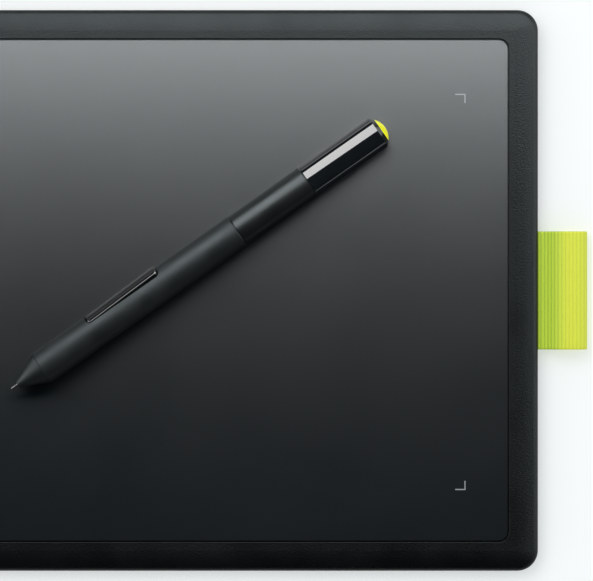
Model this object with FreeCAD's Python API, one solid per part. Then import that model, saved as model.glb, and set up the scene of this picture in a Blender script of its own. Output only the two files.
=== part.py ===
"""Pen drawing tablet with its stylus, modelled as an assembly of separate parts.

The tablet is a thin slab: a top cover with a crowned rim and a recessed drawing sheet, a bottom
cover on four rubber feet, the sensor and control boards between them, and a folded ribbon loop
that carries the stylus. The stylus lies across the drawing sheet.

Units are millimetres. +X is to the user's right, +Y is away from the user and +Z is up.
Tablet parts are drawn about the middle of the tablet body and stylus parts along their own axis;
save() moves both into the row frame, whose origin is the centre of the whole footprint (body and
loop) on the desk plane.
"""
import FreeCAD
import Part
import math
import os

from FreeCAD import Placement, Rotation, Vector

# ---------------------------------------------------------------- tablet body
BODY_X = 260.5            # length of the body, without the loop
BODY_Y = 189.0            # depth of the body
BODY_R = 7.0              # plan radius of the corners, also the width of the crowned edge
Z_UNDER = 0.75            # underside of the bottom cover, which stands on its feet
Z_PART = 4.5              # joint between the two covers
Z_TOP = 8.75              # highest line of the rim
CROWN_R = 16.0            # large radius that rolls the rim over
EDGE_R = 2.4              # tighter radius at the outer edge of the rim
BELLY_R = 3.4             # radius under the edge of the bottom cover
SEAM = 0.25               # chamfer that shows the joint between the covers

WALL_TOP = 1.8            # side wall of the top cover
WALL_BOTTOM = 2.9         # side wall of the bottom cover, lip included
FLOOR = 1.3               # thickness of the bottom cover's floor
LIP_OUT = 1.9             # outer face of the locating lip, from the body's edge
LIP_H = 1.0
Z_DECK = 8.0              # deck that the drawing sheet is glued to
DECK = 1.1

# ---------------------------------------------------------------- drawing sheet
POCKET_IN = 9.85          # pocket edge, from the body's edge
POCKET_R = 3.5
SHEET_IN = 10.4           # sheet edge, from the body's edge
SHEET_R = 3.0
GLUE = 0.1
SHEET = 0.5
Z_SHEET = Z_DECK + GLUE + SHEET
MARK_IN_X = 24.5          # outer corner of the printed marks, from the body's edge
MARK_IN_Y = 27.87
MARK_SHIFT_Y = -0.5       # the printed area sits this far towards the user
MARK_LINE = 0.38
MARK_X = 3.5
MARK_Y = 3.1
INK = 0.04

# ---------------------------------------------------------------- boards
SENSOR_X0, SENSOR_X1 = -113.0, 112.0
SENSOR_Y = 144.0
SENSOR_T = 0.8
SENSOR_GAP = 0.05         # film of glue under the deck
SHIELD_X0, SHIELD_X1 = -108.0, 111.0
SHIELD_Y = 142.0
SHIELD_T = 0.3
BOARD_X0, BOARD_X1 = -127.0, -113.5
BOARD_Y0, BOARD_Y1 = -14.0, 62.0
BOARD_T = 0.8
Z_BOARD = 2.3
RIB_T = 1.0
RIB_PITCH = 36.0
Z_RIB = 5.2
PAD_SIDE = 12.0

USB_Y = 45.0
USB_W, USB_H, USB_L = 7.5, 2.6, 5.4
USB_X = -129.5            # mouth of the socket
USB_WINDOW_Y, USB_WINDOW_Z = 9.0, 3.7
USB_SHEET = 0.3

LIGHT_X = -BODY_X / 2 + 4.95
LIGHT_Y = 0.0
LIGHT_R = 0.9
RIBBON_Y = 20.0
RIBBON_W = 12.0
RIBBON_T = 0.3

# ---------------------------------------------------------------- feet and screws
FOOT_X, FOOT_Y, FOOT_T = 26.0, 9.0, 1.25
FOOT_AT_X, FOOT_AT_Y = 104.0, 80.5
FOOT_GAP = 0.15
SCREW_SEAT = 3.0
SCREW_HEAD_R, SCREW_HEAD_H = 1.9, 1.2
SCREW_R = 0.84
PILOT_R = 0.85
POST_R = 3.4
BOSS_R = 2.7
Z_POST = 4.9
LABEL_X, LABEL_Y, LABEL_T = 64.0, 26.0, 0.12

# ---------------------------------------------------------------- ribbon loop
LOOP_W = 39.8             # width of the ribbon, along Y
LOOP_OUT = 16.7           # how far it stands out of the body
RIBBON = 0.75             # thickness of the woven ribbon
LOOP_HALF = 3.0           # half height of the eye's outside
LOOP_IN = 11.5            # length of ribbon held inside the case
LOOP_NECK = 1.6           # where the two layers part, from the body's edge
LOOP_FLAT = 7.6           # where the layers run level, from the body's edge
SLOT_GAP = 0.2
ANCHOR_Y = 42.0
ANCHOR_PIN_Y = 13.0

# ---------------------------------------------------------------- stylus, from the tip along its axis
PEN_HEADING = 35.02       # angle of the axis from +X
PEN_ROLL = -55.0          # turns the side switch towards the far side
PEN_TIP_X, PEN_TIP_Y = -46.75, -33.2
PEN_CLEAR = 0.05          # gap to the drawing sheet
CONE_X0, CONE_X1 = 2.7, 12.65
GRIP_X1 = 92.5
REAR_X0, REAR_X1 = 92.75, 121.2
TAIL_X0, TAIL_X1 = 121.45, 150.15
PEN_END = 151.4
PEN_LENGTH = 153.1
MOUTH_R = 1.25
CONE_R = 5.78
GRIP_R = 5.8
REAR_R = 5.77
TAIL_R = 5.79
END_R = 4.4
BORE_R = 4.7              # inside of the barrels
SPIGOT_R = 4.66
EASE = 0.15               # broken edge at the ends of each barrel
GRIP_EASE = 0.06          # finer where the grip meets the cone

NIB_R = 0.7
NIB_END = 24.5
NIB_BORE_R = 0.95
NIB_PULL = 25.0           # travel that draws the nib out for changing
NIB_PRESS = 0.4           # travel under writing pressure
CARRIER_X0, CARRIER_X1 = 21.8, 27.0
CARRIER_R = 1.7
FERRITE_X0, FERRITE_X1 = 13.6, 21.0
FERRITE_R, FERRITE_BORE = 2.5, 1.0
COIL_R = 3.2
SENSOR_CAN_X0, SENSOR_CAN_X1 = 28.0, 32.0
FRAME_X0, FRAME_X1 = 17.0, 85.5
FRAME_R, FRAME_IN = 4.6, 3.9
PEN_BOARD_X0, PEN_BOARD_X1 = 32.8, 84.0
PEN_BOARD_W = 8.4
PEN_BOARD_T = 0.8
DOME_H = 1.7

SWITCH_X0, SWITCH_X1 = 34.1, 62.7
SWITCH_W = 4.4
SWITCH_GAP = 0.3
SWITCH_CORNER = 1.3
SWITCH_EDGE = 0.45        # rounding between the crown and the sides
SWITCH_PIVOT_X, SWITCH_PIVOT_Z = 48.4, 4.3
SWITCH_TILT = 2.15        # the rocker rises towards the rear
SWITCH_CROWN_R = 5.9
SWITCH_PIN_R = 0.5
SWITCH_PIN_FIT = 0.03     # radial clearance on the pin
SWITCH_SWING = 1.5
DOME_X = (39.0, 57.8)

RACK_X0, RACK_X1 = 117.5, 131.0
RACK_R = 3.85
SPARE_X0 = 119.5
SPARE_X1 = SPARE_X0 + NIB_END
SPARE_R = 0.8
SPARE_PITCH_R = 2.0
TAIL_PULL = 30.0

FRAME_SHIFT = Vector(-LOOP_OUT / 2, 0, 0)
X_AXIS, Y_AXIS, Z_AXIS = Vector(1, 0, 0), Vector(0, 1, 0), Vector(0, 0, 1)
PEN_PLACE = Placement(
    Vector(PEN_TIP_X, PEN_TIP_Y, Z_SHEET + GRIP_R + PEN_CLEAR),
    Rotation(Z_AXIS, PEN_HEADING) * Rotation(X_AXIS, PEN_ROLL),
)
NODES = []


# ---------------------------------------------------------------- helpers
def save(name, *solids, stylus=False):
    """Writes one node. Tablet parts are shifted, stylus parts are laid on the sheet first."""
    shape = solids[0].copy() if len(solids) == 1 else Part.makeCompound([s.copy() for s in solids])
    place = Placement(FRAME_SHIFT, Rotation())
    if stylus:
        place = place.multiply(PEN_PLACE)
    shape.Placement = place.multiply(shape.Placement)
    for solid in shape.Solids:
        if not solid.isValid() or solid.Volume <= 0:
            raise ValueError(name + " has a bad solid")
    shape.exportStep(os.path.join("parts", name + ".step"))
    NODES.append((name, len(shape.Solids), round(shape.Volume, 1)))


def box(x0, x1, y0, y1, z0, z1):
    return Part.makeBox(x1 - x0, y1 - y0, z1 - z0, Vector(x0, y0, z0))


def post(x, y, r, z0, z1):
    return Part.makeCylinder(r, z1 - z0, Vector(x, y, z0), Z_AXIS)


def rounded_face(length, depth, r, z):
    """A rounded rectangle about the origin, as a face at height z."""
    hx, hy = length / 2, depth / 2
    bow = r * math.sqrt(0.5)
    edges = []
    ends = []
    for sx, sy in ((1, 1), (-1, 1), (-1, -1), (1, -1)):
        cx, cy = sx * (hx - r), sy * (hy - r)
        along_x = Vector(cx + sx * r, cy, z)
        along_y = Vector(cx, cy + sy * r, z)
        start, end = (along_x, along_y) if sx * sy > 0 else (along_y, along_x)
        edges.append(Part.Arc(start, Vector(cx + sx * bow, cy + sy * bow, z), end).toShape())
        ends.append((start, end))
    for i in range(4):
        leave, arrive = ends[i][1], ends[(i + 1) % 4][0]
        if leave.distanceToPoint(arrive) > 1e-6:
            edges.append(Part.LineSegment(leave, arrive).toShape())
    return Part.Face(Part.Wire(Part.__sortEdges__(edges)))


def slab(length, depth, r, z0, z1, at=(0, 0)):
    """A rounded rectangle with upright sides, from z0 to z1."""
    solid = rounded_face(length, depth, r, z0).extrude(Vector(0, 0, z1 - z0))
    solid.translate(Vector(at[0], at[1], 0))
    return solid


def edged_slab(length, depth, r, profile):
    """A rounded rectangle whose edge has a drawn profile: a wire in (x, z), where x runs from 0,
    on the corner's axis, to r at the outer edge. The profile is closed along x = 0."""
    face = Part.Face(profile)
    hx, hy = length / 2 - r, depth / 2 - r
    low, high = profile.BoundBox.ZMin, profile.BoundBox.ZMax
    parts = [box(-hx, hx, -hy, hy, low, high)]
    for quarter, (cx, cy) in enumerate([(hx, hy), (-hx, hy), (-hx, -hy), (hx, -hy)]):
        corner = face.revolve(Vector(), Z_AXIS, 90)
        corner.rotate(Vector(), Z_AXIS, 90 * quarter)
        corner.translate(Vector(cx, cy, 0))
        parts.append(corner)
    for turn, (run, reach) in enumerate([(hy, hx), (hx, hy), (hy, hx), (hx, hy)]):
        side = face.copy()
        side.translate(Vector(reach, -run, 0))
        side = side.extrude(Vector(0, 2 * run, 0))
        side.rotate(Vector(), Z_AXIS, 90 * turn)
        parts.append(side)
    return parts[0].multiFuse(parts[1:]).removeSplitter()


def polygon(points):
    """A closed wire in the XZ plane."""
    return Part.makePolygon([Vector(x, 0, z) for x, z in points] + [Vector(points[0][0], 0, points[0][1])])


def turned(points):
    """A solid of revolution about X from a closed outline of (x, radius) points."""
    return Part.Face(polygon(points)).revolve(Vector(), X_AXIS, 360)


def tube(x0, x1, r_out, r_in, ease=0.0):
    """A barrel about X, with broken outer edges."""
    if not ease:
        return turned([(x0, r_in), (x1, r_in), (x1, r_out), (x0, r_out)])
    return turned([(x0, r_in), (x1, r_in), (x1, r_out - ease), (x1 - ease, r_out),
                   (x0 + ease, r_out), (x0, r_out - ease)])


def rod(x0, x1, r):
    return Part.makeCylinder(r, x1 - x0, Vector(x0, 0, 0), X_AXIS)


def arc(centre_x, centre_z, r, from_deg, to_deg):
    """An arc in the XZ plane. Angles are from +Z towards +X."""
    def point(deg):
        a = math.radians(deg)
        return Vector(centre_x + r * math.sin(a), 0, centre_z + r * math.cos(a))
    return Part.Arc(point(from_deg), point((from_deg + to_deg) / 2), point(to_deg)).toShape()


def joined(*items):
    """A closed wire through arcs and points, with straight lines between what doesn't meet."""
    edges = []
    first = last = None
    for item in items:
        curved = isinstance(item, Part.Edge)
        start = item.valueAt(item.FirstParameter) if curved else Vector(item[0], 0, item[1])
        end = item.valueAt(item.LastParameter) if curved else start
        if last is not None and last.distanceToPoint(start) > 1e-6:
            edges.append(Part.LineSegment(last, start).toShape())
        if curved:
            edges.append(item)
        first = first or start
        last = end
    if last.distanceToPoint(first) > 1e-6:
        edges.append(Part.LineSegment(last, first).toShape())
    return Part.Wire(edges)


# ---------------------------------------------------------------- tablet covers
def rim_profile():
    """Top cover's edge: flat, then the large crown radius, then the edge radius, then upright."""
    tilt = math.asin((BODY_R - EDGE_R) / (CROWN_R - EDGE_R))
    edge_z = Z_TOP - CROWN_R + (CROWN_R - EDGE_R) * math.cos(tilt)
    tilt = math.degrees(tilt)
    return joined(
        arc(0, Z_TOP - CROWN_R, CROWN_R, 0, tilt),
        arc(BODY_R - EDGE_R, edge_z, EDGE_R, tilt, 90),
        (BODY_R, Z_PART + SEAM),
        (BODY_R - SEAM, Z_PART),
        (0, Z_PART),
    )


def belly_profile():
    """Bottom cover's edge: upright under the joint, then one radius to the flat underside."""
    return joined(
        (0, Z_PART),
        (BODY_R - SEAM, Z_PART),
        (BODY_R, Z_PART - SEAM),
        arc(BODY_R - BELLY_R, Z_UNDER + BELLY_R, BELLY_R, 90, 180),
        (0, Z_UNDER),
    )


def foot_places():
    return {
        side_y + "_" + side_x: (FOOT_AT_X * sx, FOOT_AT_Y * sy)
        for side_y, sy in (("front", -1), ("rear", 1))
        for side_x, sx in (("left", -1), ("right", 1))
    }


def loop_slot():
    """Slot through the right-hand wall, half in each cover."""
    half = LOOP_W / 2 + 2 * SLOT_GAP
    z = RIBBON + SLOT_GAP
    return box(BODY_X / 2 - LOOP_IN, BODY_X / 2 + 1, -half, half, Z_PART - z, Z_PART + z)


def usb_window():
    """Window through the left-hand wall for the plug, half in each cover."""
    mid = Z_BOARD + BOARD_T + USB_H / 2
    window = slab(USB_WINDOW_Z, USB_WINDOW_Y, 0.8, 0, 6)
    window.rotate(Vector(), Y_AXIS, 90)
    window.translate(Vector(-BODY_X / 2 - 1, USB_Y, mid))
    return window


def top_cover():
    shell = edged_slab(BODY_X, BODY_Y, BODY_R, rim_profile())
    room = slab(BODY_X - 2 * WALL_TOP, BODY_Y - 2 * WALL_TOP, BODY_R - WALL_TOP, Z_PART - 1, Z_DECK - DECK)
    pocket = slab(BODY_X - 2 * POCKET_IN, BODY_Y - 2 * POCKET_IN, POCKET_R, Z_DECK, Z_TOP + 1)
    shell = shell.cut(room).cut(pocket)
    rim_edges = [e for e in shell.Edges if e.BoundBox.ZMin > Z_TOP - 0.01
                 and abs(e.CenterOfMass.x) < BODY_X / 2 - POCKET_IN + 0.1
                 and abs(e.CenterOfMass.y) < BODY_Y / 2 - POCKET_IN + 0.1]
    shell = shell.makeFillet(0.2, rim_edges)
    bosses = [post(x, y, BOSS_R, Z_POST, Z_DECK - DECK) for x, y in foot_places().values()]
    holes = [post(x, y, PILOT_R, Z_POST - 1, Z_DECK - DECK + 0.6) for x, y in foot_places().values()]
    shell = shell.multiFuse(bosses).cut(Part.makeCompound(holes))
    light_hole = post(LIGHT_X, LIGHT_Y, LIGHT_R + 0.03, Z_PART, Z_TOP + 1)
    return shell.cut(light_hole).cut(loop_slot()).cut(usb_window())


def bottom_cover():
    shell = edged_slab(BODY_X, BODY_Y, BODY_R, belly_profile())
    lip = slab(BODY_X - 2 * LIP_OUT, BODY_Y - 2 * LIP_OUT, BODY_R - LIP_OUT, Z_PART - 0.5, Z_PART + LIP_H)
    z_floor = Z_UNDER + FLOOR
    room = slab(BODY_X - 2 * WALL_BOTTOM, BODY_Y - 2 * WALL_BOTTOM, BODY_R - WALL_BOTTOM, z_floor, Z_TOP)
    shell = shell.fuse(lip).cut(room)
    inside = [post(x, y, POST_R, Z_UNDER + 0.5, Z_POST) for x, y in foot_places().values()]
    for k in range(-3, 4):
        inside.append(box(k * RIB_PITCH - RIB_T / 2, k * RIB_PITCH + RIB_T / 2,
                          -SHIELD_Y / 2, SHIELD_Y / 2, z_floor - 0.2, Z_RIB))
    for k in range(-1, 2):
        inside.append(box(-3 * RIB_PITCH, 3 * RIB_PITCH, k * RIB_PITCH - RIB_T / 2,
                          k * RIB_PITCH + RIB_T / 2, z_floor - 0.2, Z_RIB))
    inside.append(box(BODY_X / 2 - 12.5, BODY_X / 2 - 3.5, -ANCHOR_Y / 2, ANCHOR_Y / 2,
                      z_floor - 0.2, Z_PART - RIBBON))
    for y in (BOARD_Y0 + 4, BOARD_Y1 - 4):
        inside.append(post(BOARD_X1 - 3, y, 2.0, z_floor - 0.2, Z_BOARD))
        inside.append(post(BOARD_X1 - 3, y, 0.98, z_floor - 0.2, Z_BOARD + BOARD_T + 0.5))
        inside.append(post(BOARD_X0 + 3, y, 1.5, z_floor - 0.2, Z_BOARD))
    shell = shell.multiFuse(inside)
    cuts = [loop_slot(), usb_window()]
    for x, y in foot_places().values():
        cuts.append(slab(FOOT_X + 2 * FOOT_GAP, FOOT_Y + 2 * FOOT_GAP, FOOT_Y / 2 + FOOT_GAP - 0.01,
                         Z_UNDER - 1, FOOT_T, at=(x, y)))
        cuts.append(post(x, y, SCREW_HEAD_R + 0.3, FOOT_T - 0.1, SCREW_SEAT))
        cuts.append(post(x, y, SCREW_R + 0.25, SCREW_SEAT - 0.1, Z_POST + 1))
    cuts.append(slab(LABEL_X + 0.4, LABEL_Y + 0.4, 1.2, Z_UNDER - 1, Z_UNDER + LABEL_T))
    for side in (-1, 1):
        cuts.append(post(BODY_X / 2 - 8, side * ANCHOR_PIN_Y, 0.97, Z_UNDER + 1.0, Z_PART))
    for cut in cuts:
        shell = shell.cut(cut)
    return shell


# ---------------------------------------------------------------- sheet, marks and boards
def corner_marks():
    """Four printed brackets at the corners of the active area."""
    marks = []
    for sx in (-1, 1):
        for sy in (-1, 1):
            x, y = sx * (BODY_X / 2 - MARK_IN_X), sy * (BODY_Y / 2 - MARK_IN_Y) + MARK_SHIFT_Y
            flat = box(min(x, x - sx * MARK_X), max(x, x - sx * MARK_X),
                       min(y, y - sy * MARK_LINE), max(y, y - sy * MARK_LINE), Z_SHEET, Z_SHEET + INK)
            upright = box(min(x, x - sx * MARK_LINE), max(x, x - sx * MARK_LINE),
                          min(y, y - sy * MARK_Y), max(y, y - sy * MARK_Y), Z_SHEET, Z_SHEET + INK)
            marks.append(flat.fuse(upright).removeSplitter())
    return marks


def light_guide():
    """Clear guide from the lamp on the board to the rim, with a shoulder under the deck."""
    z_lamp = Z_BOARD + BOARD_T + 0.75
    u = BODY_R - (LIGHT_X + BODY_X / 2)
    z_rim = Z_TOP - CROWN_R + math.sqrt(CROWN_R ** 2 - u ** 2)
    shaft = post(LIGHT_X, LIGHT_Y, LIGHT_R, z_lamp, z_rim)
    shoulder = post(LIGHT_X, LIGHT_Y, LIGHT_R + 1.0, Z_DECK - DECK - 1.2, Z_DECK - DECK)
    cap_r = 6.0
    sag = cap_r - math.sqrt(cap_r ** 2 - LIGHT_R ** 2)
    dome = Part.makeSphere(cap_r, Vector(LIGHT_X, LIGHT_Y, z_rim + sag - cap_r))
    dome = dome.common(post(LIGHT_X, LIGHT_Y, LIGHT_R, z_rim - 0.5, z_rim + 1))
    return shaft.fuse(shoulder).fuse(dome).removeSplitter()


def usb_socket():
    """Drawn shell of the socket, open at its mouth, with the two lower corners cut off."""
    z0 = Z_BOARD + BOARD_T
    cut = 0.8

    def outline(inset):
        half = USB_W / 2 - inset
        return [(-half, z0 + USB_H - inset), (half, z0 + USB_H - inset), (half, z0 + inset + cut),
                (half - cut, z0 + inset), (cut - half, z0 + inset), (-half, z0 + inset + cut)]

    def prism(inset, x0, x1):
        points = [Vector(x0, USB_Y + y, z) for y, z in outline(inset)]
        return Part.Face(Part.makePolygon(points + points[:1])).extrude(Vector(x1 - x0, 0, 0))

    return prism(0, USB_X, USB_X + USB_L).cut(prism(USB_SHEET, USB_X - 1, USB_X + USB_L - 0.4))


def usb_tongue():
    mid = Z_BOARD + BOARD_T + USB_H / 2 + 0.35
    x_back = USB_X + USB_L - 0.4
    block = box(x_back - 0.8, x_back, USB_Y - 2.9, USB_Y + 2.9, mid - 0.9, mid + 0.6)
    tongue = box(USB_X + 0.6, x_back, USB_Y - 1.9, USB_Y + 1.9, mid - 0.3, mid + 0.3)
    return block.fuse(tongue).removeSplitter()


def ribbon_cable():
    """Flat flexible cable that turns back under itself, between the two boards."""
    z_high = Z_DECK - DECK - SENSOR_GAP - SENSOR_T - 0.55
    z_low = Z_BOARD + BOARD_T + 0.55
    mid, half = (z_high + z_low) / 2, (z_high - z_low) / 2
    x_high, x_low, x_turn = SENSOR_X0 - 0.2, BOARD_X1 - 3.7, -119.5
    out, inn = half + RIBBON_T / 2, half - RIBBON_T / 2
    wire = joined(
        (x_high, mid + out),
        arc(x_turn, mid, out, 360, 180),
        (x_low, mid - out),
        (x_low, mid - inn),
        arc(x_turn, mid, inn, 180, 360),
        (x_high, mid + inn),
    )
    cable = Part.Face(wire).extrude(Vector(0, RIBBON_W, 0))
    cable.translate(Vector(0, RIBBON_Y - RIBBON_W / 2, 0))
    return cable


def ribbon_connectors():
    z_under_sensor = Z_DECK - DECK - SENSOR_GAP - SENSOR_T
    z_on_board = Z_BOARD + BOARD_T
    half = RIBBON_W / 2 + 1.2
    y0, y1 = RIBBON_Y - half, RIBBON_Y + half
    high = box(SENSOR_X0 - 0.2, SENSOR_X0 + 3.6, y0, y1, z_under_sensor - 1.1, z_under_sensor)
    low = box(BOARD_X1 - 3.7, BOARD_X1 - 0.4, y0, y1, z_on_board, z_on_board + 1.1)
    return high, low


def control_board():
    board = box(BOARD_X0, BOARD_X1, BOARD_Y0, BOARD_Y1, Z_BOARD, Z_BOARD + BOARD_T)
    for y in (BOARD_Y0 + 4, BOARD_Y1 - 4):
        board = board.cut(post(BOARD_X1 - 3, y, 1.02, Z_BOARD - 1, Z_BOARD + 2))
    return board


def chip(x, y, side_x, side_y, height, z=Z_BOARD + BOARD_T):
    return box(x - side_x / 2, x + side_x / 2, y - side_y / 2, y + side_y / 2, z, z + height)


def board_parts():
    """Small parts on the control board: crystal, filters, regulator and capacitors."""
    crystal = chip(-120.5, -4.0, 3.2, 2.5, 0.8)
    regulator = chip(-118.2, 33.5, 3.0, 1.7, 1.0)
    inductor = chip(-122.2, 34.5, 2.9, 1.6, 1.1)
    parts = [crystal, regulator, inductor]
    for k in range(6):
        parts.append(chip(-124.8, 8.0 + 4.2 * k, 1.2, 2.0, 0.7))
    return parts


def support_pads():
    """Foam pads on the crossings of the ribs, under the shield."""
    z_top = Z_DECK - DECK - SENSOR_GAP - SENSOR_T - SHIELD_T
    return [box(x * RIB_PITCH - PAD_SIDE / 2, x * RIB_PITCH + PAD_SIDE / 2,
                y * RIB_PITCH - PAD_SIDE / 2, y * RIB_PITCH + PAD_SIDE / 2, Z_RIB, z_top)
            for x in (-2, 0, 2) for y in (-1, 0, 1)]


# ---------------------------------------------------------------- feet, screws, label
def case_screw(x, y):
    """Pan-head screw from below, with a cross recess."""
    head = post(x, y, SCREW_HEAD_R, SCREW_SEAT - SCREW_HEAD_H, SCREW_SEAT)
    shank = post(x, y, SCREW_R, SCREW_SEAT, Z_DECK - DECK + 0.4)
    z0 = SCREW_SEAT - SCREW_HEAD_H - 0.1
    cross = box(x - 1.1, x + 1.1, y - 0.25, y + 0.25, z0, z0 + 0.75)
    cross = cross.fuse(box(x - 0.25, x + 0.25, y - 1.1, y + 1.1, z0, z0 + 0.75))
    return head.fuse(shank).cut(cross)


def foot(x, y):
    """Rubber pad with a broken lower edge."""
    pad = slab(FOOT_X, FOOT_Y, FOOT_Y / 2 - 0.01, 0, FOOT_T, at=(x, y))
    return pad.makeChamfer(0.25, [e for e in pad.Edges if e.BoundBox.ZMax < 0.01])


# ---------------------------------------------------------------- ribbon loop
def loop_outline(inset):
    """Side view of the folded ribbon, less an inset: the layers part, run level and fold round."""
    edge = BODY_X / 2
    neck, level = edge + LOOP_NECK + 2.5 * inset, edge + LOOP_FLAT
    half = LOOP_HALF - inset
    thin = max(RIBBON - inset, 0.02)

    def flare(side):
        """One layer's S-bend, from the neck out to the level stretch."""
        z0, z1, middle = Z_PART + side * thin, Z_PART + side * half, (neck + level) / 2
        return [Vector(neck, 0, z0), Vector(middle, 0, z0), Vector(middle, 0, z1), Vector(level, 0, z1)]

    def bent(points):
        curve = Part.BezierCurve()
        curve.setPoles(points)
        return curve.toShape()

    fold = arc(edge + LOOP_OUT - LOOP_HALF, Z_PART, half, 0, 180)
    return bent(flare(1)), fold, bent(flare(-1)[::-1])


def pen_loop():
    """Woven ribbon folded in two; both ends lie flat in the case, the fold makes an open eye."""
    edge = BODY_X / 2
    top, fold, under = loop_outline(0)
    outside = joined((edge - LOOP_IN, Z_PART + RIBBON), top, fold, under, (edge - LOOP_IN, Z_PART - RIBBON))
    top, fold, under = loop_outline(RIBBON)
    eye = joined(top, fold, under)
    ribbon = Part.Face(outside).cut(Part.Face(eye)).extrude(Vector(0, LOOP_W, 0))
    ribbon.translate(Vector(0, -LOOP_W / 2, 0))
    for side in (-1, 1):
        ribbon = ribbon.cut(post(edge - 8, side * ANCHOR_PIN_Y, 1.0, Z_PART - 2, Z_PART + 2))
    return ribbon.Solids[0]


def loop_anchor():
    """Clamp bar that holds the ribbon's ends down on the bottom cover."""
    edge = BODY_X / 2
    z0 = Z_PART + RIBBON
    bar = box(edge - 12.0, edge - 4.0, -ANCHOR_Y / 2, ANCHOR_Y / 2, z0, Z_DECK - DECK - 0.05)
    for side in (-1, 1):
        bar = bar.cut(post(edge - 8, side * ANCHOR_PIN_Y, 1.0, z0 - 1, Z_TOP))
        bar = bar.cut(post(edge - 8, side * ANCHOR_PIN_Y, 1.7, z0 + 0.6, Z_TOP))
    return bar


def anchor_screw(side):
    x, y, seat = BODY_X / 2 - 8, side * ANCHOR_PIN_Y, Z_PART + RIBBON + 0.6
    head = post(x, y, 1.6, seat, seat + 0.8)
    slot = box(x - 1.6, x + 1.6, y - 0.2, y + 0.2, seat + 0.45, seat + 1)
    return head.fuse(post(x, y, 0.95, Z_UNDER + 1.2, seat)).cut(slot)


# ---------------------------------------------------------------- stylus
def nose_cone():
    return turned([
        (CONE_X0, NIB_BORE_R), (CONE_X0, MOUTH_R - 0.12), (CONE_X0 + 0.12, MOUTH_R),
        (CONE_X1 - GRIP_EASE, CONE_R), (CONE_X1, CONE_R - GRIP_EASE), (CONE_X1, SPIGOT_R),
        (16.8, SPIGOT_R), (16.8, 3.9), (13.2, 3.9), (13.2, 2.6), (10.0, 2.6), (6.5, NIB_BORE_R),
    ])


def grip_barrel():
    """Soft-touch barrel with the window for the side switch and the holes for its pin."""
    front = CONE_X1 + 0.08
    barrel = turned([
        (front, BORE_R), (GRIP_X1, BORE_R), (GRIP_X1, GRIP_R - EASE), (GRIP_X1 - EASE, GRIP_R),
        (front + GRIP_EASE, GRIP_R), (front, GRIP_R - GRIP_EASE),
    ])
    length, width = SWITCH_X1 - SWITCH_X0 + 2 * SWITCH_GAP, SWITCH_W + 2 * SWITCH_GAP
    middle = (SWITCH_X0 + SWITCH_X1) / 2
    window = slab(length, width, SWITCH_CORNER + SWITCH_GAP, 1.0, 8.0, at=(middle, 0))
    pin = Part.makeCylinder(SWITCH_PIN_R, 6.2, Vector(SWITCH_PIVOT_X, -3.1, SWITCH_PIVOT_Z), Y_AXIS)
    return barrel.cut(window).cut(pin)


def side_switch():
    """Two-way rocker: a crowned bar that rises to the rear, with two feet over the dome switches."""
    mid = (SWITCH_X0 + SWITCH_X1) / 2
    bar = slab(SWITCH_X1 - SWITCH_X0, SWITCH_W, SWITCH_CORNER, 3.3, 8.0, at=(mid, 0))
    crown = Part.makeCylinder(SWITCH_CROWN_R, 60, Vector(mid - 30, 0, 0), X_AXIS)
    crown.rotate(Vector(mid, 0, 0), Y_AXIS, -SWITCH_TILT)
    crown.translate(Vector(0, 0, 0.5))
    bar = bar.common(crown)
    top = [e for e in bar.Edges if e.BoundBox.ZMin > 4.6 and e.BoundBox.ZMax > 5.2]
    bar = bar.makeFillet(SWITCH_EDGE, top)
    for x in DOME_X:
        bar = bar.fuse(post(x, 0, 0.8, 2.85, 4.0))
    pivot = Vector(SWITCH_PIVOT_X, -4, SWITCH_PIVOT_Z)
    return bar.cut(Part.makeCylinder(SWITCH_PIN_R + SWITCH_PIN_FIT, 8, pivot, Y_AXIS))


def switch_pin():
    return Part.makeCylinder(SWITCH_PIN_R, 6.0, Vector(SWITCH_PIVOT_X, -3.0, SWITCH_PIVOT_Z), Y_AXIS)


def nib(x0, x1, r):
    """Plastic nib with a rounded point towards x0."""
    point = r - 0.05
    profile = joined((x1, 0), (x1, r), (x0 + 2.4, r), (x0 + 1.9, point), arc(x0 + point, 0, point, 0, -90))
    return Part.Face(profile).revolve(Vector(), X_AXIS, 360)


def nib_carrier():
    cup = turned([
        (CARRIER_X0, NIB_R + 0.02), (NIB_END + 0.05, NIB_R + 0.02), (NIB_END + 0.05, 0), (CARRIER_X1, 0),
        (CARRIER_X1, 2.6), (CARRIER_X1 - 1.2, 2.6), (CARRIER_X1 - 1.2, CARRIER_R), (CARRIER_X0, CARRIER_R),
    ])
    return cup


def ferrite_rings():
    return [tube(x, x + 1.0, 3.85, FERRITE_R + 0.01) for x in (17.2, FERRITE_X1 - 1.0)]


def coil_windings():
    """Coil in two banks between the cushion rings."""
    return [tube(14.2, 16.9, COIL_R, FERRITE_R + 0.01), tube(18.4, 19.8, COIL_R, FERRITE_R + 0.01)]


def inner_frame():
    """Trough that carries the coil, the pressure sensor and the board."""
    trough = tube(FRAME_X0, FRAME_X1, FRAME_R, FRAME_IN)
    return trough.cut(box(FRAME_X0 - 1, FRAME_X1 + 1, -6, 6, 0, 6))


def pen_board():
    half = PEN_BOARD_W / 2
    return box(PEN_BOARD_X0, PEN_BOARD_X1, -half, half, 0, PEN_BOARD_T)


def dome_switches():
    switches = []
    for x in DOME_X:
        can = box(x - 1.9, x + 1.9, -1.6, 1.6, PEN_BOARD_T, PEN_BOARD_T + DOME_H - 0.4)
        switches.append(can.fuse(post(x, 0, 1.0, 2.0, PEN_BOARD_T + DOME_H)).removeSplitter())
    return switches


def pen_board_parts():
    parts = [box(44.4, 49.0, -2.2, 2.2, PEN_BOARD_T, 1.7), box(62.5, 66.5, -1.8, 1.8, PEN_BOARD_T, 2.3)]
    for k in range(5):
        parts.append(box(69.0 + 2.6 * k, 70.4 + 2.6 * k, -0.9, 0.9, PEN_BOARD_T, 1.6))
    return parts


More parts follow.
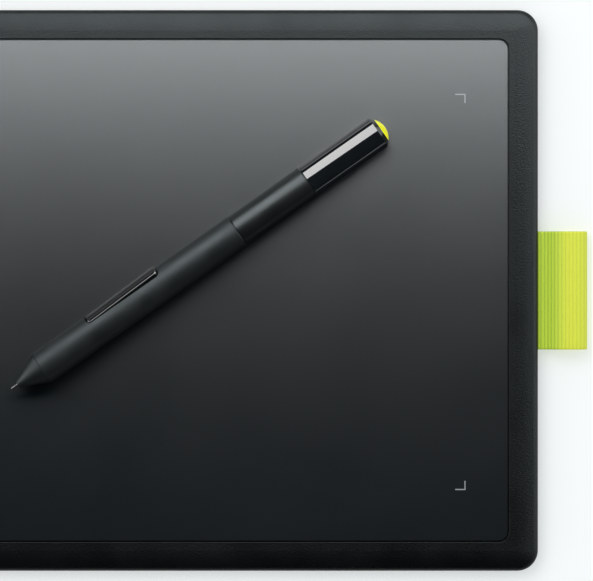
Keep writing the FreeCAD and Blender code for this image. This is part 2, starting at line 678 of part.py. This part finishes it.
def rear_barrel():
    """Satin barrel with a spigot at each end, one in the grip and one that the tail pushes onto."""
    return turned([
        (86.0, 3.95), (86.0, SPIGOT_R), (REAR_X0, SPIGOT_R), (REAR_X0, REAR_R - EASE),
        (REAR_X0 + EASE, REAR_R), (REAR_X1 - EASE, REAR_R), (REAR_X1, REAR_R - EASE),
        (REAR_X1, SPIGOT_R), (129.8, SPIGOT_R), (130.0, SPIGOT_R - 0.2), (130.0, 3.95),
    ])


def spare_places():
    """Centres of the three spare nibs, across the axis."""
    return [(SPARE_PITCH_R * math.sin(math.radians(turn)), SPARE_PITCH_R * math.cos(math.radians(turn)))
            for turn in (0, 120, 240)]


def nib_rack():
    rack = rod(RACK_X0, RACK_X1, RACK_R + 0.1)
    for y, z in spare_places():
        hole = rod(SPARE_X0, RACK_X1 + 1, SPARE_R + 0.02)
        hole.translate(Vector(0, y, z))
        rack = rack.cut(hole)
    return rack


def spare_nibs():
    spares = []
    for y, z in spare_places():
        spare = nib(0, SPARE_X1 - SPARE_X0, SPARE_R)
        spare.rotate(Vector(), Z_AXIS, 180)
        spare.translate(Vector(SPARE_X1, y, z))
        spares.append(spare)
    return spares


def tail_barrel():
    """Gloss cap that pulls off the rear barrel; its end is chamfered round the coloured button."""
    return turned([
        (TAIL_X0, BORE_R), (130.6, BORE_R), (131.5, 4.2), (148.2, 4.2), (148.2, 3.05), (PEN_END, 3.05),
        (PEN_END, END_R), (TAIL_X1, TAIL_R), (TAIL_X0 + EASE, TAIL_R), (TAIL_X0, TAIL_R - EASE),
    ])


def end_cap():
    """Coloured button: a low dome on a plug."""
    rise = PEN_LENGTH - PEN_END
    dome_r = ((END_R - 0.1) ** 2 + rise ** 2) / (2 * rise)
    half = math.degrees(math.asin((END_R - 0.1) / dome_r))
    dome = arc(PEN_LENGTH - dome_r, 0, dome_r, 90, 90 - half)
    profile = joined(dome, (PEN_END, 3.0), (148.0, 3.0), (148.0, 0))
    return Part.Face(profile).revolve(Vector(), X_AXIS, 360)


# ---------------------------------------------------------------- assembly
def build_tablet():
    z_sensor = Z_DECK - DECK - SENSOR_GAP - SENSOR_T
    sheet_x, sheet_y = BODY_X - 2 * SHEET_IN, BODY_Y - 2 * SHEET_IN
    save("top_cover", top_cover())
    save("bottom_cover", bottom_cover())
    save("drawing_surface", slab(sheet_x, sheet_y, SHEET_R, Z_DECK + GLUE, Z_SHEET))
    save("adhesive_sheet", slab(sheet_x - 2, sheet_y - 2, SHEET_R - 1, Z_DECK, Z_DECK + GLUE))
    save("active_area_marks", *corner_marks())
    save("light_guide", light_guide())
    save("status_lamp", chip(LIGHT_X, LIGHT_Y, 1.6, 0.8, 0.65))
    save("sensor_board", box(SENSOR_X0, SENSOR_X1, -SENSOR_Y / 2, SENSOR_Y / 2,
                             z_sensor, z_sensor + SENSOR_T))
    save("shield_sheet", box(SHIELD_X0, SHIELD_X1, -SHIELD_Y / 2, SHIELD_Y / 2,
                             z_sensor - SHIELD_T, z_sensor))
    save("support_pads", *support_pads())
    save("control_board", control_board())
    save("controller_chip", chip(-119.0, 5.5, 7.0, 7.0, 0.9))
    save("board_parts", *board_parts())
    save("ribbon_connectors", *ribbon_connectors())
    save("ribbon_cable", ribbon_cable())
    save("usb_socket", usb_socket())
    save("usb_tongue", usb_tongue())
    save("pen_loop", pen_loop())
    save("loop_anchor", loop_anchor())
    save("anchor_screws", anchor_screw(-1), anchor_screw(1))
    save("case_screws", *[case_screw(x, y) for x, y in foot_places().values()])
    save("rating_label", slab(LABEL_X, LABEL_Y, 1.0, Z_UNDER, Z_UNDER + LABEL_T))
    for name, (x, y) in foot_places().items():
        save("foot_" + name, foot(x, y))


def build_stylus():
    save("nose_cone", nose_cone(), stylus=True)
    save("grip_barrel", grip_barrel(), stylus=True)
    save("side_switch", side_switch(), stylus=True)
    save("switch_pin", switch_pin(), stylus=True)
    save("nib", nib(0, NIB_END, NIB_R), stylus=True)
    save("nib_carrier", nib_carrier(), stylus=True)
    save("ferrite_core", tube(FERRITE_X0, FERRITE_X1, FERRITE_R, FERRITE_BORE), stylus=True)
    save("coil_windings", *coil_windings(), stylus=True)
    save("ferrite_rings", *ferrite_rings(), stylus=True)
    save("pressure_pad", rod(SENSOR_CAN_X0 - 0.5, SENSOR_CAN_X0, 2.2), stylus=True)
    save("pressure_sensor", rod(SENSOR_CAN_X0, SENSOR_CAN_X1, FRAME_IN - 0.05), stylus=True)
    save("inner_frame", inner_frame(), stylus=True)
    save("pen_board", pen_board(), stylus=True)
    save("dome_switches", *dome_switches(), stylus=True)
    save("pen_board_parts", *pen_board_parts(), stylus=True)
    save("rear_barrel", rear_barrel(), stylus=True)
    save("nib_rack", nib_rack(), stylus=True)
    save("spare_nibs", *spare_nibs(), stylus=True)
    save("tail_barrel", tail_barrel(), stylus=True)
    save("end_cap", end_cap(), stylus=True)


os.makedirs("parts", exist_ok=True)
build_tablet()
build_stylus()
for name, count, volume in NODES:
    print(name, count, "solid(s)", volume, "mm3")
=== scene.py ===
"""Looks of the pen drawing tablet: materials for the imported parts, the woven ribbon loop, light and camera.

All lengths are in metres, in the row frame: +X to the user's right, +Y away from the user, +Z up.
"""
import math

import bpy
import numpy as np
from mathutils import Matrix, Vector


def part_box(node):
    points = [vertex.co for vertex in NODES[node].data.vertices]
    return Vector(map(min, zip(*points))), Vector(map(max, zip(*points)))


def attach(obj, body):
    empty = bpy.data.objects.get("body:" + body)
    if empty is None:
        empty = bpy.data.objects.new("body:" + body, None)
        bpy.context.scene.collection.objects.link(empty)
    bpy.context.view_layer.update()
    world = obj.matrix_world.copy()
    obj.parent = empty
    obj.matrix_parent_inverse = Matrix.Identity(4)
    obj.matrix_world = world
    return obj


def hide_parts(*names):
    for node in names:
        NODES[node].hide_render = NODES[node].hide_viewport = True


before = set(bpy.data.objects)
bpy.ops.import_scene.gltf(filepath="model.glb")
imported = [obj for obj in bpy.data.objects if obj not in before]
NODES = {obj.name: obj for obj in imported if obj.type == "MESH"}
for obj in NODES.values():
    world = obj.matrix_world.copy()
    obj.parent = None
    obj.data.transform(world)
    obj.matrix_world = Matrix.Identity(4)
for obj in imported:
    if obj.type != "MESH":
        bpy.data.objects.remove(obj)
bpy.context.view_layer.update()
MM = 0.001


# ---------------------------------------------------------------- material helpers
class Shader:
    """One Principled material and short ways to wire patterns into it."""

    def __init__(self, name, color, roughness, ior=1.5, metallic=0.0):
        self.material = bpy.data.materials.new(name)
        self.material.use_nodes = True
        self.tree = self.material.node_tree
        self.surface = self.tree.nodes["Principled BSDF"]
        self.surface.inputs["Base Color"].default_value = (*color, 1)
        self.surface.inputs["Roughness"].default_value = roughness
        self.surface.inputs["IOR"].default_value = ior
        self.surface.inputs["Metallic"].default_value = metallic
        self.material.diffuse_color = (*color, 1)
        self.place = self.node("ShaderNodeTexCoord").outputs["Object"]

    def node(self, kind, **settings):
        made = self.tree.nodes.new(kind)
        for key, value in settings.items():
            setattr(made, key, value)
        return made

    def link(self, source, target):
        self.tree.links.new(source, target)
        return source

    def set(self, **values):
        """Uniform values of the surface, with underscores for the spaces in the socket names."""
        for key, value in values.items():
            self.surface.inputs[key.replace("_", " ")].default_value = value
        return self

    def stretched(self, stretch, turn=(0, 0, 0)):
        """Object coordinates, scaled and turned, for a pattern that runs one way."""
        mapping = self.node("ShaderNodeMapping")
        mapping.inputs["Scale"].default_value = stretch
        mapping.inputs["Rotation"].default_value = turn
        self.link(self.place, mapping.inputs["Vector"])
        return mapping.outputs["Vector"]

    def noise(self, grain, detail=2.0, rough=0.55, place=None):
        """Noise whose lumps are about grain metres across."""
        made = self.node("ShaderNodeTexNoise")
        made.inputs["Scale"].default_value = 1 / grain
        made.inputs["Detail"].default_value = detail
        made.inputs["Roughness"].default_value = rough
        self.link(place or self.place, made.inputs["Vector"])
        return made.outputs["Fac"]

    def ramp(self, source, stops):
        """Maps 0..1 through (position, value or colour) stops."""
        made = self.node("ShaderNodeValToRGB")
        while len(made.color_ramp.elements) < len(stops):
            made.color_ramp.elements.new(0.5)
        for element, (position, value) in zip(made.color_ramp.elements, stops):
            element.position = position
            element.color = (*value, 1) if hasattr(value, "__len__") else (value, value, value, 1)
        self.link(source, made.inputs["Fac"])
        return made.outputs["Color"]

    def mix(self, share, first, second):
        """Blends two colours, each given as a value or as a socket."""
        made = self.node("ShaderNodeMix", data_type="RGBA")
        for name, value in (("Factor", share), ("A", first), ("B", second)):
            socket = made.inputs[name]
            if isinstance(value, bpy.types.NodeSocket):
                self.link(value, socket)
            elif hasattr(value, "__len__"):
                socket.default_value = (*value, 1)
            else:
                socket.default_value = value
        return made.outputs["Result"]

    def math(self, operation, first, second=0.0):
        """One arithmetic step on values or sockets."""
        made = self.node("ShaderNodeMath", operation=operation)
        for socket, value in zip(made.inputs, (first, second)):
            if isinstance(value, bpy.types.NodeSocket):
                self.link(value, socket)
            else:
                socket.default_value = value
        return made.outputs[0]

    def color(self, source):
        self.link(source, self.surface.inputs["Base Color"])
        return self

    def roughness(self, source):
        self.link(source, self.surface.inputs["Roughness"])
        return self

    def bump(self, height, depth, strength=1.0):
        """Relief: height 0..1 stands depth metres high."""
        made = self.node("ShaderNodeBump")
        made.inputs["Strength"].default_value = strength
        made.inputs["Distance"].default_value = depth
        self.link(height, made.inputs["Height"])
        self.link(made.outputs["Normal"], self.surface.inputs["Normal"])
        return self


def moulded(name, color, roughness, grain, depth, ior=1.5, mottle=0.25, wear=0.06):
    """Moulded plastic: a fine relief, slight mottling and a roughness that wanders."""
    made = Shader(name, color, roughness, ior)
    fine = made.noise(grain, detail=3.0, rough=0.6)
    broad = made.noise(grain * 45, detail=2.0)
    dark, light = [c * (1 - mottle) for c in color], [c * (1 + mottle) for c in color]
    made.color(made.ramp(fine, [(0.3, dark), (0.7, light)]))
    made.roughness(made.ramp(broad, [(0.3, roughness - wear), (0.7, roughness + wear)]))
    return made.bump(fine, depth)


def wear(node, shader):
    """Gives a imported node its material."""
    data = NODES[node].data
    data.materials.clear()
    data.materials.append(shader.material)
    for face in data.polygons:
        face.material_index = 0


# ---------------------------------------------------------------- materials
def drawing_film():
    """Matte film with a paper-like tooth."""
    color = (0.0002, 0.0050, 0.0085)
    made = Shader("drawing_film", color, 0.33, 1.8)
    made.set(Specular_Tint=(0.955, 0.99, 1.0, 1))
    tooth = made.noise(0.16 * MM, detail=2.0)
    dark, light = [c * 0.9 for c in color], [c * 1.1 for c in color]
    made.color(made.ramp(tooth, [(0.3, dark), (0.7, light)]))
    made.roughness(made.ramp(made.noise(30 * MM), [(0.3, 0.32), (0.7, 0.34)]))
    return made.bump(tooth, 0.034 * MM)


def printed_ink():
    made = Shader("printed_ink", (0.30, 0.32, 0.33), 0.55)
    speck = made.noise(0.15 * MM)
    return made.color(made.ramp(speck, [(0.3, (0.25, 0.27, 0.28)), (0.7, (0.34, 0.36, 0.37))]))


def polished(name, color, ior=1.8):
    """Gloss-black moulding with a faint orange-peel and a few rubbed patches."""
    made = Shader(name, color, 0.06, ior)
    made.roughness(made.ramp(made.noise(9 * MM, detail=3.0), [(0.35, 0.045), (0.7, 0.085)]))
    dark, light = [c * 0.9 for c in color], [c * 1.1 for c in color]
    made.color(made.ramp(made.noise(4 * MM), [(0.3, dark), (0.7, light)]))
    return made.bump(made.noise(2.5 * MM), 0.002 * MM)


def solder_mask():
    """Green board with copper tracks under the mask."""
    made = Shader("solder_mask", (0.016, 0.10, 0.045), 0.35, 1.5)
    tracks = made.node("ShaderNodeTexBrick", offset=0.5)
    tracks.inputs["Scale"].default_value = 1 / (9 * MM)
    tracks.inputs["Mortar Size"].default_value = 0.03
    tracks.inputs["Color1"].default_value = (0.014, 0.095, 0.040, 1)
    tracks.inputs["Color2"].default_value = (0.018, 0.115, 0.050, 1)
    tracks.inputs["Mortar"].default_value = (0.035, 0.20, 0.085, 1)
    made.link(made.place, tracks.inputs["Vector"])
    made.color(tracks.outputs["Color"])
    return made.bump(tracks.outputs["Fac"], 0.02 * MM)


def metal(name, color, roughness):
    """Rolled or drawn metal, with a grain along X, six times as long as it is wide."""
    made = Shader(name, color, roughness, 1.5, 1.0)
    grain = made.noise(0.25 * MM, detail=2.0, place=made.stretched((1 / 6, 1, 1)))
    dark, light = [c * 0.85 for c in color], [c * 1.12 for c in color]
    made.color(made.ramp(grain, [(0.3, dark), (0.7, light)]))
    made.roughness(made.ramp(grain, [(0.3, roughness - 0.08), (0.7, roughness + 0.08)]))
    return made.bump(grain, 0.004 * MM)


def windings():
    """Enamelled wire wound round the stylus axis."""
    made = Shader("windings", (0.62, 0.25, 0.10), 0.32, 1.5, 0.9)
    wave = made.node("ShaderNodeTexWave", wave_type="BANDS", bands_direction="X")
    wave.inputs["Scale"].default_value = 1 / (0.9 * MM)
    made.link(made.stretched((1, 1, 1), (0, 0, -PEN_HEADING)), wave.inputs["Vector"])
    made.color(made.ramp(wave.outputs["Fac"], [(0.1, (0.30, 0.10, 0.04)), (0.6, (0.70, 0.30, 0.12))]))
    return made.bump(wave.outputs["Fac"], 0.05 * MM)


def clear_guide():
    made = Shader("clear_guide", (0.80, 0.86, 0.88), 0.12, 1.49)
    made.set(Transmission_Weight=0.6)
    return made.bump(made.noise(0.8 * MM), 0.003 * MM)


def woven(name, groove_shade, crown, painted_lit, painted_lit_x):
    """Ribbed ribbon: fine yarns, painted shade in the grooves between the modelled ribs, and painted light
    that makes the yarn paler beyond a given x.

    The UV map "weave" counts ribs along the ribbon in u and yarns across it in v.
    """
    half_blend = 3.0 * MM
    made = Shader(name, crown, 0.75, 1.40)
    split = made.node("ShaderNodeSeparateXYZ")
    made.link(made.place, split.inputs["Vector"])
    reach = made.node("ShaderNodeMapRange", interpolation_type="SMOOTHSTEP")
    reach.inputs["From Min"].default_value = painted_lit_x - half_blend
    reach.inputs["From Max"].default_value = painted_lit_x + half_blend
    made.link(split.outputs["X"], reach.inputs["Value"])
    weave = made.node("ShaderNodeSeparateXYZ")
    made.link(made.node("ShaderNodeUVMap", uv_map="weave").outputs["UV"], weave.inputs["Vector"])
    wave = made.math("COSINE", made.math("MULTIPLY", weave.outputs["X"], 2 * math.pi))
    crest = made.math("SUBTRACT", 0.5, made.math("MULTIPLY", wave, 0.5))
    fuzz = made.noise(0.30 * MM, detail=2.0)
    yarn = made.math("SINE", made.math("MULTIPLY", weave.outputs["Y"], 2 * math.pi))
    tone = made.math("ADD", crest, made.math("MULTIPLY", made.math("SUBTRACT", fuzz, 0.5), 0.9))
    # Painted shade: where the tone is low, in the grooves, the yarn is painted darker than on the rib crowns.
    near = made.ramp(tone, [(0.0, groove_shade), (0.55, crown)])
    # Painted light: beyond the given x the yarn is painted paler, as if the outer part of the loop were more
    # brightly lit.
    far = made.ramp(tone, [(0.0, [c * 0.86 for c in painted_lit]), (0.5, painted_lit)])
    made.color(made.mix(reach.outputs["Result"], near, far))
    made.set(Sheen_Weight=0.15, Sheen_Roughness=0.5, Sheen_Tint=(0.95, 1.0, 0.6, 1))
    return made.bump(made.math("ADD", made.math("MULTIPLY", yarn, 0.3), fuzz), 0.03 * MM, 0.7)


def label_print():
    """Blank label in grey print, with no lettering."""
    made = Shader("label_print", (0.16, 0.17, 0.18), 0.45)
    made.color(made.ramp(made.noise(0.5 * MM), [(0.3, (0.14, 0.15, 0.16)), (0.7, (0.18, 0.19, 0.20))]))
    return made.bump(made.noise(1.2 * MM), 0.004 * MM)


# ---------------------------------------------------------------- stylus heading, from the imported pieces
tail_low, tail_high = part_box("tail_barrel")
nib_low, nib_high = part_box("nib")
PEN_HEADING = math.atan2(*[((tail_low + tail_high) - (nib_low + nib_high))[k] for k in (1, 0)])

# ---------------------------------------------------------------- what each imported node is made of
case = moulded("case_texture", (0.0004, 0.0012, 0.0018), 0.46, 0.50 * MM, 0.12 * MM, ior=1.30)
base = moulded("base_texture", (0.0150, 0.0165, 0.0180), 0.58, 0.55 * MM, 0.05 * MM)
soft_touch = moulded("soft_touch", (0.0030, 0.0048, 0.0060), 0.51, 0.20 * MM, 0.006 * MM, 1.42, mottle=0.15)
satin = moulded("satin_plastic", (0.0040, 0.0052, 0.0058), 0.36, 0.25 * MM, 0.003 * MM, 1.43,
                mottle=0.12, wear=0.03)
rocker_plastic = moulded("rocker_plastic", (0.0050, 0.0060, 0.0064), 0.14, 0.20 * MM, 0.0005 * MM, 1.75,
                         mottle=0.1, wear=0.02)
nib_plastic = moulded("nib_plastic", (0.020, 0.020, 0.022), 0.16, 0.15 * MM, 0.0005 * MM, 1.9,
                      mottle=0.1, wear=0.03)
frame_plastic = moulded("frame_plastic", (0.52, 0.53, 0.54), 0.5, 0.3 * MM, 0.004 * MM, mottle=0.05)
rubber = moulded("foot_rubber", (0.012, 0.012, 0.013), 0.78, 0.35 * MM, 0.02 * MM)
foam = moulded("foam", (0.05, 0.05, 0.055), 0.9, 0.5 * MM, 0.12 * MM, mottle=0.4)
chip_epoxy = moulded("chip_epoxy", (0.018, 0.018, 0.019), 0.6, 0.12 * MM, 0.004 * MM)
cream = moulded("connector_cream", (0.62, 0.57, 0.44), 0.5, 0.3 * MM, 0.004 * MM, mottle=0.06)
amber = moulded("amber_film", (0.42, 0.17, 0.025), 0.3, 0.8 * MM, 0.01 * MM, mottle=0.15)
glue = moulded("glue_film", (0.55, 0.53, 0.45), 0.4, 1.0 * MM, 0.01 * MM, mottle=0.05)
ferrite = moulded("ferrite", (0.045, 0.045, 0.05), 0.55, 0.2 * MM, 0.01 * MM)
lamp = moulded("lamp_body", (0.70, 0.70, 0.62), 0.4, 0.3 * MM, 0.004 * MM, mottle=0.05)
gloss = polished("gloss_plastic", (0.0085, 0.0110, 0.0130))
lime_cap = polished("lime_plastic", (0.97, 0.97, 0.012), 1.5)
# Painted light: the lime cap glows faintly, so it looks brighter than the lamps alone make it.
lime_cap.set(Emission_Color=(1.0, 1.0, 0.02, 1), Emission_Strength=0.20)
board = solder_mask()
steel = metal("sheet_steel", (0.52, 0.53, 0.54), 0.38)
plated = metal("plated_steel", (0.60, 0.61, 0.62), 0.28)
screw_steel = metal("screw_steel", (0.20, 0.20, 0.21), 0.38)
for cool in (case, soft_touch, satin):
    cool.set(Specular_Tint=(0.88, 0.98, 1.0, 1))
film, ink, coil, guide, label = drawing_film(), printed_ink(), windings(), clear_guide(), label_print()

WORN = {
    "top_cover": case, "bottom_cover": base, "drawing_surface": film, "adhesive_sheet": glue,
    "active_area_marks": ink, "light_guide": guide, "status_lamp": lamp, "sensor_board": board,
    "shield_sheet": steel, "support_pads": foam, "control_board": board, "controller_chip": chip_epoxy,
    "board_parts": chip_epoxy, "ribbon_connectors": cream, "ribbon_cable": amber, "usb_socket": plated,
    "usb_tongue": chip_epoxy, "loop_anchor": base, "anchor_screws": screw_steel, "case_screws": screw_steel,
    "rating_label": label, "foot_front_left": rubber, "foot_front_right": rubber, "foot_rear_left": rubber,
    "foot_rear_right": rubber, "nose_cone": soft_touch, "grip_barrel": soft_touch,
    "side_switch": rocker_plastic, "switch_pin": screw_steel,
    "nib": nib_plastic, "nib_carrier": frame_plastic, "ferrite_core": ferrite,
    "coil_windings": coil, "ferrite_rings": foam, "pressure_pad": foam, "pressure_sensor": steel,
    "inner_frame": frame_plastic, "pen_board": board, "dome_switches": plated, "pen_board_parts": chip_epoxy,
    "rear_barrel": satin, "nib_rack": frame_plastic, "spare_nibs": nib_plastic, "tail_barrel": gloss,
    "end_cap": lime_cap,
}
for name, shader in WORN.items():
    wear(name, shader)


# ---------------------------------------------------------------- ribbon loop
RIBBON_T = 0.75 * MM      # thickness over the ribs
RIB_PITCH = 1.25 * MM
RIB_H = 0.12 * MM
YARN_PITCH = 0.83 * MM
SELVEDGE = 0.9 * MM       # width of the rounded edges
EDGE_SHARE = 0.45         # thickness left at the very edge
LAYER_GAP = 0.06 * MM     # between the two layers where the case holds them
NECK = 2.4 * MM           # the layers part this far outside the case
LEVEL = 7.6 * MM          # and run level from here to the fold
PAINTED_LIT_FROM = 7.5 * MM      # painted light: the yarn is painted paler beyond this


def ribbon_path(low, high, edge):
    """Middle line of the folded ribbon in (x, z), evenly spaced, from the upper end round to the lower."""
    mid, half, tip = (low.z + high.z) / 2, (high.z - low.z) / 2 - RIBBON_T / 2, high.x - RIBBON_T / 2
    neck, level = edge + NECK, edge + LEVEL
    near = (RIBBON_T + LAYER_GAP) / 2
    upper = [(x, near) for x in np.linspace(low.x, neck, 12)[:-1]]
    for s in np.linspace(0, 1, 24):
        upper.append((neck + (level - neck) * s, near + (half - near) * (3 * s * s - 2 * s ** 3)))
    centre = tip - half
    fold = [(centre + half * math.sin(a), half * math.cos(a)) for a in np.linspace(0, math.pi, 40)]
    line = np.array(upper + fold + [(x, -z) for x, z in reversed(upper)])
    along = np.concatenate([[0], np.cumsum(np.linalg.norm(np.diff(line, axis=0), axis=1))])
    count = int(along[-1] / (RIB_PITCH / 8)) + 1   # eight steps to a rib
    at = np.linspace(0, along[-1], count)
    line = np.stack([np.interp(at, along, line[:, k]) for k in (0, 1)], axis=1)
    line[:, 1] += mid
    return line, at


def ribbon_loop():
    """Grosgrain ribbon folded in two, with real ribs across it and rounded selvedges."""
    low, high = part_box("pen_loop")
    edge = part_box("top_cover")[1].x
    line, at = ribbon_path(low, high, edge)
    tangent = np.gradient(line, axis=0)
    tangent /= np.linalg.norm(tangent, axis=1)[:, None]
    normal = np.stack([-tangent[:, 1], tangent[:, 0]], axis=1)
    half_y = (high.y - low.y) / 2
    across = np.linspace(-half_y, half_y, 81)
    middle_y = (high.y + low.y) / 2
    rib = (0.5 - 0.5 * np.cos(2 * math.pi * at / RIB_PITCH)) ** 0.6   # fuller than a plain wave
    columns = []
    for y in across:
        inside = (half_y - abs(y)) / SELVEDGE
        taper = math.sqrt(max(0.0, 1 - (1 - min(1, inside)) ** 2))
        columns.append((y + middle_y, taper))
    verts, faces = [], []
    rows = len(line)
    for side in (1, -1):
        for y, taper in columns:
            thick = (RIBBON_T / 2 - RIB_H + RIB_H * rib) * (EDGE_SHARE + (1 - EDGE_SHARE) * taper)
            points = line + normal * (side * thick)[:, None]
            verts += [(x, y, z) for x, z in points]
    wide = len(columns)

    def index(side, column, row):
        return (side * wide + column) * rows + row

    for side in (0, 1):
        for c in range(wide - 1):
            for r in range(rows - 1):
                quad = (index(side, c, r), index(side, c + 1, r),
                        index(side, c + 1, r + 1), index(side, c, r + 1))
                faces.append(quad if side else quad[::-1])
    for c, flip in ((0, False), (wide - 1, True)):
        for r in range(rows - 1):
            quad = (index(0, c, r), index(0, c, r + 1), index(1, c, r + 1), index(1, c, r))
            faces.append(quad if flip else quad[::-1])
    for r, flip in ((0, True), (rows - 1, False)):
        for c in range(wide - 1):
            quad = (index(0, c, r), index(0, c + 1, r), index(1, c + 1, r), index(1, c, r))
            faces.append(quad if flip else quad[::-1])
    mesh = bpy.data.meshes.new("ribbon_loop")
    mesh.from_pydata(verts, [], faces)
    mesh.validate()
    mesh.update()
    mesh.polygons.foreach_set("use_smooth", [True] * len(mesh.polygons))
    weave = mesh.uv_layers.new(name="weave")
    corner = np.empty(len(mesh.loops), dtype=np.int32)
    mesh.loops.foreach_get("vertex_index", corner)
    column, row = np.divmod(corner, rows)
    steps = np.stack([at[row] / RIB_PITCH, across[column % wide] / YARN_PITCH], axis=1)
    weave.data.foreach_set("uv", steps.astype(np.float32).ravel())
    piece = bpy.data.objects.new("ribbon_loop", mesh)
    bpy.context.scene.collection.objects.link(piece)
    # The first colour is painted shade in the grooves, the second the yarn's own colour, the third a paler
    # colour painted as light on the outer part of the loop.
    groove_shade, crown, painted_lit = (0.36, 0.56, 0.018), (0.56, 0.75, 0.028), (0.80, 0.88, 0.040)
    mesh.materials.append(woven("lime_weave", groove_shade, crown, painted_lit, edge + PAINTED_LIT_FROM).material)
    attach(piece, "tablet")
    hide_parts("pen_loop")
    return piece


ribbon_loop()


# ---------------------------------------------------------------- floor, light and camera
def floor():
    bpy.ops.mesh.primitive_plane_add(size=6.0, location=(0, 0, 0))
    plane = bpy.context.object
    plane.name = "floor"
    made = Shader("paper", (0.62, 0.63, 0.63), 0.9, 1.3)
    made.color(made.ramp(made.noise(60 * MM), [(0.3, (0.617, 0.630, 0.631)), (0.7, (0.622, 0.634, 0.636))]))
    made.set(Emission_Color=(0.97, 1.0, 1.0, 1), Emission_Strength=0.45)
    plane.data.materials.append(made.material)


def softbox(name, place, aim, size, radiance, diffuse=True, glossy=True):
    """Rectangular light of a given radiance. Its own X side stays level."""
    data = bpy.data.lights.new(name, "AREA")
    data.shape = "RECTANGLE"
    data.size, data.size_y = size
    data.energy = radiance * math.pi * size[0] * size[1]
    lamp_object = bpy.data.objects.new(name, data)
    lamp_object.location = place
    lamp_object.rotation_euler = (Vector(aim) - Vector(place)).to_track_quat("-Z", "Y").to_euler()
    lamp_object.visible_camera = False
    lamp_object.visible_diffuse = diffuse
    lamp_object.visible_glossy = glossy
    bpy.context.scene.collection.objects.link(lamp_object)
    return lamp_object


def keep_off(lamps, *nodes):
    """Low lights that rake the rim and the stylus leave the glossy nodes alone, so that they don't glare."""
    group = bpy.data.collections.new("kept_dark")
    for node in nodes:
        group.objects.link(NODES[node])
    for lamp_object in lamps:
        lamp_object.light_linking.receiver_collection = group
    for member in group.collection_objects:
        member.light_linking.link_state = "EXCLUDE"


def lights():
    """A low key behind the tablet, which the sheet mirrors, soft daylight, and a softbox at either side."""
    key_height = 0.256
    near, far, left, right = 0.095, 0.56, -0.29, 0.35
    x, y = (left + right) / 2, (near + far) / 2
    softbox("key", (x, y, key_height), (x, y, 0), (right - left, far - near), 6.9, diffuse=False)
    softbox("day", (-0.55, 0.75, 1.6), (0.03, 0, 0), (1.2, 1.2), 2.4, glossy=False)
    right_side = softbox("side", (0.62, 0.13, 0.32), (-0.38, 0.13, 0.32), (0.5, 0.6), 4.6, diffuse=False)
    left_side = softbox("left", (-0.70, 0.12, 0.30), (0.30, 0.12, 0.30), (0.7, 0.5), 4.8, diffuse=False)
    keep_off((right_side, left_side), "drawing_surface", "tail_barrel")
    world = bpy.data.worlds.new("studio")
    bpy.context.scene.world = world
    world.use_nodes = True
    backdrop = world.node_tree.nodes["Background"]
    backdrop.inputs["Color"].default_value = (0.97, 0.99, 1.0, 1)
    backdrop.inputs["Strength"].default_value = 0.6
    world.cycles_visibility.glossy = False


def camera():
    """Looks straight down through a long lens, at the right-hand end of the tablet."""
    body_low, body_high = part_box("top_cover")
    across, distance = 0.200, 1.5   # width of the view, and how far the lens is above the case
    from_edge, from_middle = -0.08136, -0.00002
    data = bpy.data.cameras.new("camera")
    data.sensor_width = 36.0
    data.lens = data.sensor_width * distance / across
    data.clip_start, data.clip_end = 0.05, 20
    eye = bpy.data.objects.new("camera", data)
    eye.location = (body_high.x + from_edge, from_middle, body_low.z + distance)
    bpy.context.scene.collection.objects.link(eye)
    bpy.context.scene.camera = eye


floor()
lights()
camera()
bpy.context.scene.view_settings.view_transform = "Standard"
